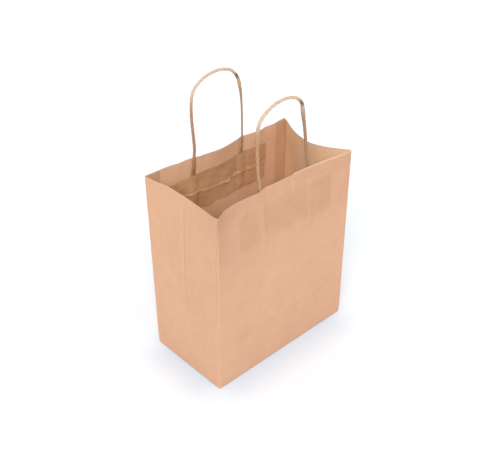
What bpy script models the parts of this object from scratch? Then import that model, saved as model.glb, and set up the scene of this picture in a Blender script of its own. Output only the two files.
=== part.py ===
"""Kraft paper carrier bag with twisted paper handles, for Blender 4.5.

Metres, +Z up. The origin is the middle of the base, on the surface that the bag stands on.
The wide front panel faces -Y and the gusseted sides face -X and +X.
"""

import math

import bmesh
import bpy
from mathutils import Matrix, Vector

# The bag as it stands
WIDTH = 0.220
DEPTH = 0.120
HEIGHT = 0.250
PAPER = 0.00018
FOLD_RADIUS = 0.0012
SEAM_FLAP = 0.020
BOTTOM_LAP = 0.015

# How the panels bow and fold inwards at the rim, and how far down each bow dies out
FRONT_BOW = 0.012
FRONT_BOW_DROP = 0.130
FRONT_RISE_LEFT = 0.040
FRONT_RISE_RIGHT = 0.110
BACK_BOW = 0.0085
BACK_BOW_DROP = 0.075
BACK_BOW_PLACE = -0.007
BACK_BOW_REACH = 0.055
BACK_DIP = 0.0035
BACK_DIP_PLACE = 0.063
BACK_DIP_REACH = 0.034
RIGHT_FOLD = 0.0255
RIGHT_RISE_FRONT = 0.058
RIGHT_RISE_BACK = 0.068
LEFT_FOLD = 0.005
LEFT_RISE_FRONT = 0.080
LEFT_RISE_BACK = 0.035
BOW_POWER = 1.5

# Shallow grooves that the folds of the flat bag leave: half their width, and their depth
CREASE_HALF = 0.003
CREASE_DEPTH = 0.0005

# Handles of twisted paper cord
CORD = 0.004
LEG_PITCH = 0.076
LEG_LENGTH = 0.068
FRONT_HANDLE_PLACE = 0.0054
BACK_HANDLE_PLACE = -0.0047
FRONT_HANDLE_RISE = 0.0945
BACK_HANDLE_RISE = 0.100
FRONT_HANDLE_LEAN = 0.0055
BACK_HANDLE_LEAN = 0.0015
CORD_STEP = 0.008

# Loops from the left leg over the top to the right leg: a share of half the leg pitch, and of the rise
FRONT_LOOP = (
    (-1.01, 0.06), (-1.032, 0.19), (-1.038, 0.35), (-1.03, 0.53), (-1.022, 0.70), (-1.0, 0.80),
    (-0.945, 0.854), (-0.85, 0.892), (-0.71, 0.928), (-0.55, 0.96), (-0.30, 0.99), (-0.02, 1.0),
    (0.25, 0.99), (0.47, 0.96), (0.62, 0.908), (0.71, 0.855), (0.76, 0.79), (0.79, 0.72),
    (0.835, 0.61), (0.88, 0.50), (0.915, 0.37), (0.95, 0.24), (0.98, 0.11),
)
BACK_LOOP = (
    (-0.99, 0.12), (-1.03, 0.30), (-1.062, 0.46), (-1.068, 0.60), (-1.05, 0.735), (-1.0, 0.822),
    (-0.90, 0.887), (-0.74, 0.934), (-0.55, 0.97), (-0.33, 0.99), (-0.10, 1.0), (0.13, 0.995),
    (0.36, 0.972), (0.53, 0.945), (0.66, 0.902), (0.77, 0.85), (0.85, 0.785), (0.89, 0.71),
    (0.935, 0.61), (0.965, 0.45), (0.98, 0.28), (0.985, 0.12),
)

# Paper strips glued over the legs of the handles
PATCH_LENGTH = 0.156
PATCH_HEIGHT = 0.052
COVER_HEIGHT = 0.029
PATCH_BELOW_RIM = 0.022
FRONT_PATCH_PLACE = 0.003
BACK_PATCH_PLACE = -0.003
TUNNEL_TOP = 0.6
TUNNEL_FOOT = 2.6

# Clearances, mesh spacing and tolerances
GLUE_GAP = 0.0003
PANEL_PITCH = 0.014
LEVEL_PITCH = 0.034
RIM_LEVEL_PITCH = 0.014
FOLD_STEPS = 3
STEP_WIDTH = 0.0004
SAME_PLACE = 1e-6
CUT_NEAR = 1e-7
FACING = 0.5

# Linear base colour, roughness
BAG_FINISH = ((0.76, 0.44, 0.27), 0.82)
PATCH_FINISH = ((0.52, 0.29, 0.16), 0.85)
CORD_FINISH = ((0.70, 0.45, 0.27), 0.75)


def clear_scene():
    """Removes what a new file starts with."""
    for thing in list(bpy.data.objects):
        bpy.data.objects.remove(thing, do_unlink=True)


def new_collection(name):
    """Adds a collection to the scene."""
    collection = bpy.data.collections.new(name)
    bpy.context.scene.collection.children.link(collection)
    return collection


def new_material(name, finish):
    """A plain Principled material of this colour and roughness."""
    colour, roughness = finish
    material = bpy.data.materials.new(name)
    material.use_nodes = True
    shader = material.node_tree.nodes["Principled BSDF"]
    shader.inputs["Base Color"].default_value = (*colour, 1.0)
    shader.inputs["Roughness"].default_value = roughness
    shader.inputs["Metallic"].default_value = 0.0
    return material


def new_object(name, shape, collection, material=None):
    """Wraps a bmesh or a curve in a named object in its collection."""
    data = shape
    if isinstance(shape, bmesh.types.BMesh):
        data = bpy.data.meshes.new(name)
        shape.to_mesh(data)
        shape.free()
    if material:
        data.materials.append(material)
    thing = bpy.data.objects.new(name, data)
    collection.objects.link(thing)
    return thing


def rise(distance, length):
    """Zero at a panel's edge and one from this length inwards, as a quarter of a sine."""
    return math.sin(math.pi / 2 * min(1.0, distance / length))


def swell(distance, reach):
    """A rounded hump: one at its middle and zero from its reach outwards."""
    return math.cos(math.pi / 2 * min(1.0, abs(distance) / reach)) ** 2


def fade(z, drop):
    """The share of the rim's bow that is left at height z, when it dies out this far below the rim."""
    return max(0.0, 1 - (HEIGHT - z) / drop) ** BOW_POWER


def front_y(x, z):
    """Outer face of the front panel."""
    shape = rise(WIDTH / 2 + x, FRONT_RISE_LEFT) * rise(WIDTH / 2 - x, FRONT_RISE_RIGHT)
    return -DEPTH / 2 + FRONT_BOW * shape * fade(z, FRONT_BOW_DROP)


def back_y(x, z):
    """Outer face of the back panel, which bows between the handle's legs and dips beside them."""
    bow = BACK_BOW * swell(x - BACK_BOW_PLACE, BACK_BOW_REACH)
    dip = BACK_DIP * swell(x - BACK_DIP_PLACE, BACK_DIP_REACH)
    return DEPTH / 2 - (bow + dip) * fade(z, BACK_BOW_DROP)


def gusset_drop():
    """The gussets fold from the top of the bottom's corner triangles up to the rim."""
    return HEIGHT - DEPTH / 2


def right_x(y, z):
    """Outer face of the right gusset."""
    shape = rise(DEPTH / 2 + y, RIGHT_RISE_FRONT) * rise(DEPTH / 2 - y, RIGHT_RISE_BACK)
    return WIDTH / 2 - RIGHT_FOLD * shape * fade(z, gusset_drop())


def left_x(y, z):
    """Outer face of the left gusset."""
    shape = rise(DEPTH / 2 + y, LEFT_RISE_FRONT) * rise(DEPTH / 2 - y, LEFT_RISE_BACK)
    return -WIDTH / 2 + LEFT_FOLD * shape * fade(z, gusset_drop())


def handle_legs(place):
    """The x of a handle's two legs."""
    return (place - LEG_PITCH / 2, place + LEG_PITCH / 2)


def patch_ends(place):
    """The x of the two ends of a patch."""
    return [place - PATCH_LENGTH / 2, place + PATCH_LENGTH / 2]


def tunnel_marks(place):
    """Where the paper over a handle's legs starts to lift and where it is level."""
    shares = (-TUNNEL_FOOT, -TUNNEL_TOP, TUNNEL_TOP, TUNNEL_FOOT)
    return [leg + share * CORD / 2 for leg in handle_legs(place) for share in shares]


def stations(marks, pitch):
    """The marks in order, with the stretches between them cut to no more than a pitch."""
    marks = sorted(set(marks))
    points = [marks[0]]
    for low, high in zip(marks, marks[1:]):
        steps = max(1, math.ceil((high - low) / pitch))
        points += [low + (high - low) * step / steps for step in range(1, steps)]
        points.append(high)
    return points


def between(places, low, high):
    """The places that lie well inside two limits."""
    return [place for place in places if low + SAME_PLACE < place < high - SAME_PLACE]


def x_stations():
    """Where the front and back panels have columns of vertices."""
    corner = -WIDTH / 2
    seam_edge = corner + SEAM_FLAP
    marks = [corner, corner + STEP_WIDTH, seam_edge, seam_edge + STEP_WIDTH, WIDTH / 2]
    marks += patch_ends(FRONT_PATCH_PLACE) + patch_ends(BACK_PATCH_PLACE)
    marks += tunnel_marks(FRONT_HANDLE_PLACE) + tunnel_marks(BACK_HANDLE_PLACE)
    return stations(marks, PANEL_PITCH)


def y_stations():
    """Where the gussets have columns of vertices."""
    return stations([-DEPTH / 2, -CREASE_HALF, 0, CREASE_HALF, DEPTH / 2], PANEL_PITCH)


def z_stations():
    """Heights of the rows of vertices, from the bottom of the base fold to the rim."""
    turns = [math.pi / 2 * step / FOLD_STEPS for step in range(FOLD_STEPS)]
    fold = [base_level() + FOLD_RADIUS * (1 - math.cos(turn)) for turn in turns]
    crease = [DEPTH / 2 - CREASE_HALF, DEPTH / 2, DEPTH / 2 + CREASE_HALF]
    above = stations([base_level() + FOLD_RADIUS, *crease, patch_bottom()], LEVEL_PITCH)
    rim = stations([patch_bottom(), cover_bottom(), patch_top(), HEIGHT], RIM_LEVEL_PITCH)
    return fold + above + rim[1:]


def base_level():
    """Underside of the inner ply of the bottom, which lies on the two folded flaps."""
    return 2 * PAPER


def patch_top():
    """Height of the upper edge of the patches and their covers."""
    return HEIGHT - PATCH_BELOW_RIM


def patch_bottom():
    """Height of the lower edge of the wide patches."""
    return patch_top() - PATCH_HEIGHT


def cover_bottom():
    """Height of the lower edge of the narrower covers."""
    return patch_top() - COVER_HEIGHT


def cut_across(shape, axis, places):
    """Cuts a bmesh into columns or rows at these places along an axis."""
    normal = Vector([float(index == axis) for index in range(3)])
    for place in places:
        everything = shape.verts[:] + shape.edges[:] + shape.faces[:]
        bmesh.ops.bisect_plane(shape, geom=everything, dist=CUT_NEAR, plane_co=normal * place, plane_no=normal)


def cut_corner_folds(shape):
    """Cuts each half of each gusset along its 45 degree fold, from a base corner to the gusset's middle."""
    for side in (-1, 1):
        normal = Vector((0, side, 1)).normalized()
        for shift in (-CREASE_HALF, 0, CREASE_HALF):
            middle = Vector((0, 0, DEPTH / 2)) + shift * normal
            half = [face for face in shape.faces if abs(face.normal.x) > FACING]
            half = [face for face in half if face.calc_center_median().y * side > 0]
            around = {item for face in half for item in (*face.verts, *face.edges)}
            bmesh.ops.bisect_plane(
                shape, geom=half + list(around), dist=CUT_NEAR, plane_co=middle, plane_no=normal
            )


def groove(distance):
    """How far a fold's groove pulls the paper in, this far from the fold."""
    return CREASE_DEPTH * max(0.0, 1 - abs(distance) / CREASE_HALF)


def gusset_groove(y, z):
    """The grooves of a gusset: its middle fold, above the two folds that rise from the base corners."""
    corner_fold = groove((abs(y) + z - DEPTH / 2) / math.sqrt(2))
    return corner_fold if z < DEPTH / 2 else max(corner_fold, groove(y))


def bag_point(point):
    """Where a point of the plain box lies on the real bag."""
    x, y, z = point
    if z < base_level() + FOLD_RADIUS - SAME_PLACE:
        up = FOLD_RADIUS - (z - base_level())
        inset = FOLD_RADIUS - math.sqrt(max(0.0, FOLD_RADIUS**2 - up**2))
        return Vector((x * (1 - 2 * inset / WIDTH), y * (1 - 2 * inset / DEPTH), z))
    if y > DEPTH / 2 - SAME_PLACE:
        return Vector((x, back_y(x, z), z))
    if y < -DEPTH / 2 + SAME_PLACE:
        inside = abs(x) < WIDTH / 2 - SAME_PLACE
        return Vector((x, front_y(x, z) + inside * groove(z - DEPTH / 2), z))
    if x < 0:
        return Vector((left_x(y, z) + gusset_groove(y, z), y, z))
    return Vector((right_x(y, z) - gusset_groove(y, z), y, z))


def bag_skin():
    """The outer face of the bag: an open box with its panels cut into a grid and shaped."""
    shape = bmesh.new()
    height = HEIGHT - base_level()
    middle = Matrix.Translation((0, 0, base_level() + height / 2))
    bmesh.ops.create_cube(shape, size=1, matrix=middle @ Matrix.Diagonal((WIDTH, DEPTH, height, 1)))
    lid = [face for face in shape.faces if face.normal.z > FACING]
    bmesh.ops.delete(shape, geom=lid, context="FACES_ONLY")
    cut_across(shape, 1, y_stations()[1:-1])
    cut_corner_folds(shape)
    cut_across(shape, 0, x_stations()[1:-1])
    cut_across(shape, 2, z_stations()[1:-1])
    for vertex in shape.verts:
        vertex.co = bag_point(vertex.co)
    return shape


def add_seam(bag):
    """Gives the stretch of back panel that the glue flap covers the thickness of two plies."""
    group = bag.vertex_groups.new(name="seam")
    corner = -WIDTH / 2 + STEP_WIDTH / 2
    inner_edge = -WIDTH / 2 + SEAM_FLAP + STEP_WIDTH / 2
    for vertex in bag.data.vertices:
        x, y, z = vertex.co
        on_back = abs(y - back_y(x, z)) < SAME_PLACE
        if on_back and corner < x < inner_edge:
            group.add([vertex.index], 1.0, "REPLACE")
    wall = bag.modifiers.new("wall", "SOLIDIFY")
    wall.thickness = 2 * PAPER
    wall.vertex_group = group.name
    wall.thickness_vertex_group = 0.5
    wall.offset = -1
    wall.use_even_offset = True


def bottom_flap(name, side, low, collection):
    """One folded flap of the bottom: a thin plate with its ends slanted at 45 degrees."""
    long_half = WIDTH / 2 - FOLD_RADIUS
    fold_line = side * (DEPTH / 2 - FOLD_RADIUS)
    reach = DEPTH / 2 - FOLD_RADIUS + BOTTOM_LAP
    short_half = long_half - reach
    free_edge = fold_line - side * reach
    fold_ends = ((-long_half, fold_line), (long_half, fold_line))
    free_ends = ((short_half, free_edge), (-short_half, free_edge))
    shape = bmesh.new()
    face = shape.faces.new([shape.verts.new((x, y, low)) for x, y in fold_ends + free_ends])
    top = base_level() + PAPER / 2
    raised = bmesh.ops.extrude_face_region(shape, geom=[face])
    lifted = [item for item in raised["geom"] if isinstance(item, bmesh.types.BMVert)]
    bmesh.ops.translate(shape, vec=(0, 0, top - low), verts=lifted)
    bmesh.ops.recalc_face_normals(shape, faces=shape.faces[:])
    flap = new_object(name, shape, collection)
    flap.hide_render = True
    flap.display_type = "WIRE"
    return flap


def build_bag(parts, helpers):
    """The folded sheet: walls, seam and block bottom."""
    bag = new_object("paper_bag", bag_skin(), parts, new_material("kraft_paper", BAG_FINISH))
    add_seam(bag)
    for name, side, low in (("back_flap", 1, PAPER), ("front_flap", -1, 0.0)):
        join = bag.modifiers.new(name, "BOOLEAN")
        join.operation = "UNION"
        join.object = bottom_flap(name, side, low, helpers)
    return bag


def panel(side):
    """The outer face of the front or back panel."""
    return front_y if side < 0 else back_y


def seated_y(side, x, z, lift):
    """The y of something inside a panel, this far off the panel's inner face."""
    return panel(side)(x, z) - side * (PAPER + lift)


def tunnel(x, place):
    """How far paper lifts over a handle's legs at x, as a share of the full lift."""
    nearest = min(abs(x - leg) for leg in handle_legs(place))
    share = (TUNNEL_FOOT - nearest / (CORD / 2)) / (TUNNEL_FOOT - TUNNEL_TOP)
    return min(1.0, max(0.0, share))


def build_strip(name, side, handle_place, patch_place, height, under, parts, material):
    """A glued paper strip that follows the panel and lifts over the legs; under is what it lies on."""
    low, high = patch_top() - height, patch_top()
    left, right = patch_ends(patch_place)
    shape = bmesh.new()
    corners = ((left, low), (right, low), (right, high), (left, high))
    shape.faces.new([shape.verts.new((x, 0, z)) for x, z in corners])
    cut_across(shape, 0, between(x_stations(), left, right))
    cut_across(shape, 2, between(z_stations(), low, high))
    for vertex in shape.verts:
        x, _, z = vertex.co
        lift = under + GLUE_GAP + tunnel(x, handle_place) * (CORD + GLUE_GAP)
        vertex.co.y = seated_y(side, x, z, lift)
    strip = new_object(name, shape, parts, material)
    wall = strip.modifiers.new("paper", "SOLIDIFY")
    wall.thickness = PAPER
    wall.offset = side
    return strip


def smooth_route(points, step):
    """Points about a step apart along a smooth curve through the route's own points."""
    ends = [2 * points[0] - points[1]] + points + [2 * points[-1] - points[-2]]
    route = [points[0]]
    for before, start, end, after in zip(ends, ends[1:], ends[2:], ends[3:]):
        count = max(1, round((end - start).length / step))
        for index in range(1, count + 1):
            t = index / count
            slope = (end - before) * t
            bend = (2 * before - 5 * start + 4 * end - after) * t**2
            twist = (3 * start - before - 3 * end + after) * t**3
            route.append(start + 0.5 * (slope + bend + twist))
    return route


def handle_route(side, place, loop, top, lean):
    """A handle's centreline: up inside the panel, over the loop and down again."""
    seat = GLUE_GAP + CORD / 2
    depths = [HEIGHT - LEG_LENGTH, cover_bottom(), patch_top(), HEIGHT]

    def leg(x):
        return [Vector((x, seated_y(side, x, z, seat), z)) for z in depths]

    left, right = handle_legs(place)
    over = []
    for across, up in loop:
        x = place + across * LEG_PITCH / 2
        blend = (x - left) / (right - left)
        start_y = leg(left)[-1].y * (1 - blend) + leg(right)[-1].y * blend
        over.append(Vector((x, start_y + lean * up, HEIGHT + up * top)))
    return leg(left) + over + leg(right)[::-1]


def build_handle(name, side, place, loop, top, lean, parts, material):
    """A loop of cord, as a curve with a round section and closed ends."""
    curve = bpy.data.curves.new(name, "CURVE")
    curve.dimensions = "3D"
    curve.bevel_depth = CORD / 2
    curve.bevel_resolution = 2
    curve.use_fill_caps = True
    points = smooth_route(handle_route(side, place, loop, top, lean), CORD_STEP)
    spline = curve.splines.new("POLY")
    spline.points.add(len(points) - 1)
    for target, point in zip(spline.points, points):
        target.co = (*point, 1.0)
    spline.use_smooth = True
    return new_object(name, curve, parts, material)


def main():
    """Builds the whole bag."""
    clear_scene()
    parts = new_collection("paper_carrier_bag")
    helpers = new_collection("helpers")
    build_bag(parts, helpers)
    cord = new_material("twisted_paper_cord", CORD_FINISH)
    patch = new_material("glued_patch_paper", PATCH_FINISH)
    loops = (
        ("front", -1, FRONT_HANDLE_PLACE, FRONT_LOOP, FRONT_HANDLE_RISE, FRONT_HANDLE_LEAN),
        ("back", 1, BACK_HANDLE_PLACE, BACK_LOOP, BACK_HANDLE_RISE, BACK_HANDLE_LEAN),
    )
    for name, side, place, loop, top, lean in loops:
        build_handle(f"{name}_handle", side, place, loop, top, lean, parts, cord)
    strips = (
        ("patch", PATCH_HEIGHT, 0.0),
        ("patch_cover", COVER_HEIGHT, PAPER + GLUE_GAP),
    )
    sides = (
        ("front", -1, FRONT_HANDLE_PLACE, FRONT_PATCH_PLACE),
        ("back", 1, BACK_HANDLE_PLACE, BACK_PATCH_PLACE),
    )
    for kind, height, under in strips:
        for name, side, handle_place, patch_place in sides:
            build_strip(f"{name}_{kind}", side, handle_place, patch_place, height, under, parts, patch)


main()
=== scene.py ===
"""Kraft paper carrier bag with twisted paper handles: its finished look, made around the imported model.

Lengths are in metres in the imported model's own frame: +Z up, the origin in the middle of the base,
the wide front panel towards -Y and the gusseted sides towards -X and +X.
"""

import logging
import math
from dataclasses import dataclass
from enum import Enum
from typing import Sequence

import bmesh
import bpy
import numpy as np
from mathutils import Matrix, Vector


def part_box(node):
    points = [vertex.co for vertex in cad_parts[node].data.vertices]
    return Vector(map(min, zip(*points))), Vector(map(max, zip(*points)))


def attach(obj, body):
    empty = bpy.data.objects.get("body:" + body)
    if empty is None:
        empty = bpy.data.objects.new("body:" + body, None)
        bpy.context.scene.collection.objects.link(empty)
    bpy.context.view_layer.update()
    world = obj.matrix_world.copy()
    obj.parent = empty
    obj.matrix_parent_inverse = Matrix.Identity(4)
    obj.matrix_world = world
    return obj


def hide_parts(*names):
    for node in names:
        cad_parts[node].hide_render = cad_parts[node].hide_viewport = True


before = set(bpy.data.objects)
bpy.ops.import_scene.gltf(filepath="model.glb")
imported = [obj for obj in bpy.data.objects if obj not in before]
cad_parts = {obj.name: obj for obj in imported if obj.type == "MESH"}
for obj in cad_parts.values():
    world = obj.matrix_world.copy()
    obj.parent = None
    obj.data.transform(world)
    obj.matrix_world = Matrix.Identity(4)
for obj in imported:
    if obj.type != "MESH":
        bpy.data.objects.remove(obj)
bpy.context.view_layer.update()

LOG = logging.getLogger("paper_carrier_bag")
BODY = "root"
Colour = tuple[float, float, float]
Array = np.ndarray


class Panel(Enum):
    """The four walls of the bag, in the order that the sheet goes round."""

    FRONT = "front"
    RIGHT = "right"
    BACK = "back"
    LEFT = "left"


class Side(Enum):
    """The two wide panels, which carry the handles. The value is the sign of the panel's y."""

    FRONT = -1
    BACK = 1


class Slot(Enum):
    """The record's material slots."""

    KRAFT = "kraft_paper"
    CORD = "twisted_paper_cord"
    PATCH = "glued_patch_paper"


def rise(distance: Array, length: float) -> Array:
    """Zero at a panel's edge and one from this length inwards, as a quarter of a sine."""
    return np.sin(np.pi / 2 * np.clip(np.asarray(distance) / length, 0.0, 1.0))


def swell(distance: Array, reach: float) -> Array:
    """A rounded hump: one at its middle and zero from its reach outwards."""
    return np.cos(np.pi / 2 * np.clip(np.abs(distance) / reach, 0.0, 1.0)) ** 2


def smooth(value: Array, low: float, high: float) -> Array:
    """Goes from zero at the low limit to one at the high limit, with level ends."""
    share = np.clip((np.asarray(value) - low) / (high - low), 0.0, 1.0)
    return share * share * (3 - 2 * share)


def crease(distance: Array, half: float) -> Array:
    """A fold's section: one on the fold and zero from half its width outwards, with a sharp middle."""
    share = np.clip(1 - np.abs(distance) / half, 0.0, 1.0)
    return share * (0.4 + 0.6 * share)


def bends(x: Array, humps: Sequence[tuple[float, float, float]]) -> Array:
    """Humps and dips along a rim, from the place, reach and height of each."""
    return sum(height * swell(x - place, reach) for place, reach, height in humps)


def towards(azimuth: float, elevation: float) -> Vector:
    """The unit vector at this angle from -Y, towards +X, and this angle above the floor."""
    level = math.cos(elevation)
    return Vector((math.sin(azimuth) * level, -math.cos(azimuth) * level, math.sin(elevation)))


def stations(*zones: tuple[float, float, float]) -> Array:
    """Places along a line from zones that follow each other.

    Args:
        zones: Start, end and largest pitch of each zone.

    Returns:
        The places in order, with the zones' limits among them.
    """
    places = [zones[0][0]]
    for start, end, pitch in zones:
        steps = max(1, math.ceil((end - start) / pitch - 1e-9))
        places += [start + (end - start) * step / steps for step in range(1, steps + 1)]
    return np.array(places)


@dataclass(frozen=True)
class Ripples:
    """Smooth unevenness of a sheet, as a sum of plane waves with a fixed seed."""

    seed: int
    height: float
    shortest: float
    longest: float
    waves: int = 16

    def at(self, across: Array, up: Array) -> Array:
        """The height of the unevenness at these places on the sheet."""
        draw = np.random.default_rng(self.seed)
        lengths = self.shortest * (self.longest / self.shortest) ** draw.random(self.waves)
        turns = draw.random(self.waves) * 2 * np.pi
        phases = draw.random(self.waves) * 2 * np.pi
        total = np.zeros(np.broadcast(across, up).shape)
        for length, turn, phase in zip(lengths, turns, phases):
            along = np.asarray(across) * np.cos(turn) + np.asarray(up) * np.sin(turn)
            total = total + np.sin(2 * np.pi * along / length + phase) * length / self.longest
        return self.height * total / math.sqrt(self.waves / 2)


class NodeGraph:
    """Adds and wires nodes in one tree."""

    def __init__(self, tree: bpy.types.NodeTree) -> None:
        """Starts on a tree.

        Args:
            tree: The material's or the modifier's node tree.
        """
        self.tree = tree

    def add(self, kind: str, inputs: dict | None = None, **settings) -> bpy.types.Node:
        """Adds a node.

        Args:
            kind: Blender's name of the node's type.
            inputs: A value or a socket to link for each input, by name or number.
            settings: The node's own properties.

        Returns:
            The new node.
        """
        node = self.tree.nodes.new(kind)
        for name, value in settings.items():
            setattr(node, name, value)
        for key, value in (inputs or {}).items():
            if isinstance(value, bpy.types.NodeSocket):
                self.tree.links.new(value, node.inputs[key])
            else:
                node.inputs[key].default_value = value
        return node

    def math(self, operation: str, first, second=0.0, third=0.0) -> bpy.types.NodeSocket:
        """One step of arithmetic on numbers or sockets."""
        inputs = {0: first, 1: second, 2: third}
        return self.add("ShaderNodeMath", inputs, operation=operation).outputs[0]

    def ramp(self, value, low: float, high: float, out_low: float = 0.0, out_high: float = 1.0):
        """Maps a range smoothly onto another.

        Args:
            value: The socket to read.
            low: Where the range starts.
            high: Where it ends.
            out_low: The result at its start.
            out_high: The result at its end.

        Returns:
            The socket with the result.
        """
        inputs = {0: value, 1: low, 2: high, 3: out_low, 4: out_high}
        return self.add("ShaderNodeMapRange", inputs, interpolation_type="SMOOTHSTEP").outputs[0]

    def mix(self, share, first, second, blend: str = "MIX") -> bpy.types.NodeSocket:
        """Mixes two colours by a share, which may be a number or a socket."""
        node = self.add("ShaderNodeMix", data_type="RGBA", blend_type=blend)
        for socket, value in ((node.inputs[0], share), (node.inputs[6], first), (node.inputs[7], second)):
            if isinstance(value, bpy.types.NodeSocket):
                self.tree.links.new(value, socket)
            else:
                socket.default_value = value if isinstance(value, float) else (*value, 1.0)
        return node.outputs[2]

    def noise(self, vector, scale: float, detail: float = 2.0, roughness: float = 0.5):
        """Noise of this scale, per metre of the vector.

        Args:
            vector: The socket with the place.
            scale: How many cells go to a metre.
            detail: How many finer layers are added.
            roughness: How strong those layers are.

        Returns:
            The socket with the noise, from zero to one.
        """
        inputs = {"Vector": vector, "Scale": scale, "Detail": detail, "Roughness": roughness}
        return self.add("ShaderNodeTexNoise", inputs).outputs["Fac"]

    def stretch(self, vector, scale: Sequence[float], turn: Sequence[float] = (0.0, 0.0, 0.0)):
        """Turns and stretches the space in which a pattern is drawn."""
        inputs = {"Vector": vector, "Rotation": tuple(turn), "Scale": tuple(scale)}
        return self.add("ShaderNodeMapping", inputs).outputs[0]

    def attribute(self, name: str) -> bpy.types.Node:
        """Reads an attribute of the mesh."""
        return self.add("ShaderNodeAttribute", attribute_name=name)


@dataclass(frozen=True)
class PaperFinish:
    """Matt unbleached paper: cloudy, with fibres, dark flecks and a darker seam flap; painted show-through
    shade where a strip lies behind, painted shade along folds, painted light on the inner face, and folds and
    rim made paler, partly as rubbed paper and partly as painted highlight.
    """

    name: str
    pale: Colour
    deep: Colour
    # covered: on the kraft, the darker seam flap and the painted show-through shade of the strips behind; on
    # the strips, the colour of their blotches
    covered: Colour
    # inside and inside_lit: painted light that makes the inner face paler, the right gusset more so
    inside: Colour
    # the colour of rubbed paper, also used as painted highlight on folds and along the rim
    wear_and_highlight: Colour
    fleck: Colour
    # the colour of painted shade along folds and creases and in the inner corners
    painted_shade: Colour = (0.70, 0.66, 0.62)
    inside_lit: Colour = (1.0, 1.0, 1.0)
    cloudiness: float = 0.8
    blotches: float = 0.0
    grain_depth: float = 0.00012
    roughness: tuple[float, float] = (0.74, 0.9)

    def build(self) -> bpy.types.Material:
        """Makes the material.

        Returns:
            A Principled material that reads Object coordinates and the mesh's own attributes.
        """
        material = bpy.data.materials.new(self.name)
        material.use_nodes = True
        graph = NodeGraph(material.node_tree)
        place = graph.add("ShaderNodeTexCoord").outputs["Object"]
        cloud = graph.noise(place, 55.0, 4.0, 0.6)
        broad = graph.noise(place, 11.0, 2.0, 0.5)
        fibre = graph.noise(graph.stretch(place, (1.0, 1.0, 0.16)), 1500.0, 3.0, 0.65)
        stray = graph.noise(graph.stretch(place, (1.0, 1.0, 0.3), (0.5, 0.7, 0.3)), 900.0, 2.0, 0.6)
        speck = graph.noise(graph.stretch(place, (1.0, 1.0, 0.55)), 620.0, 1.0, 0.5)
        shade = graph.math("MULTIPLY_ADD", graph.math("ADD", cloud, broad), 0.5, -0.5)
        shade = graph.math("MULTIPLY_ADD", shade, self.cloudiness * 2, 0.5)
        shade = graph.math("ADD", shade, graph.math("MULTIPLY_ADD", fibre, 0.5, -0.25))
        colour = graph.mix(graph.ramp(shade, 0.1, 0.9), self.pale, self.deep)
        colour = graph.mix(graph.ramp(stray, 0.62, 0.8, 0.0, 0.3), colour, self.pale)
        colour = graph.mix(graph.ramp(speck, 0.7, 0.78, 0.0, 0.45), colour, self.fleck)
        if self.blotches:
            stain = graph.noise(graph.stretch(place, (0.6, 1.0, 1.4)), 75.0, 4.0, 0.6)
            colour = graph.mix(graph.ramp(stain, 0.48, 0.66, 0.0, self.blotches), colour, self.covered)
        else:
            # Darker seam flap, and painted show-through shade where a strip lies behind the wall.
            edge = graph.math("MULTIPLY_ADD", graph.noise(place, 160.0, 2.0), 0.7, -0.35)
            cover = graph.math("ADD", graph.attribute("covered").outputs["Fac"], edge)
            colour = graph.mix(graph.ramp(cover, 0.0, 1.0), colour, self.covered, "MULTIPLY")
            # Painted light: the inner face is made paler, the right gusset more so.
            ply = graph.attribute("ply").outputs["Fac"]
            inner = graph.mix(graph.attribute("lit").outputs["Fac"], self.inside, self.inside_lit)
            colour = graph.mix(ply, colour, inner, "MULTIPLY")
            # Painted shade along folds and near the front's top on both faces, and in the inner back corner
            # and on the seam flap's inner face.
            within = graph.math("MULTIPLY", graph.attribute("shaded").outputs["Fac"], ply)
            line = graph.math("MAXIMUM", graph.attribute("painted_shade").outputs["Fac"], within)
            colour = graph.mix(line, colour, self.painted_shade, "MULTIPLY")
        # Paler on folds and along the rim: rubbed paper and painted highlight.
        rubbed = graph.ramp(stray, 0.2, 0.6, 0.5, 1.0)
        highlight_and_wear = graph.math("MULTIPLY", graph.attribute("wear_and_highlight").outputs["Fac"], rubbed)
        colour = graph.mix(highlight_and_wear, colour, self.wear_and_highlight)
        grain = graph.math("ADD", graph.math("MULTIPLY", cloud, 0.9), graph.math("ADD", fibre, stray))
        bump = graph.add("ShaderNodeBump", {"Height": grain, "Distance": self.grain_depth, "Strength": 1.0})
        shader = material.node_tree.nodes["Principled BSDF"]
        shader.inputs["Specular IOR Level"].default_value = 0.25
        links = material.node_tree.links
        links.new(colour, shader.inputs["Base Color"])
        links.new(graph.ramp(fibre, 0.3, 0.7, *self.roughness), shader.inputs["Roughness"])
        links.new(bump.outputs["Normal"], shader.inputs["Normal"])
        return material


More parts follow.
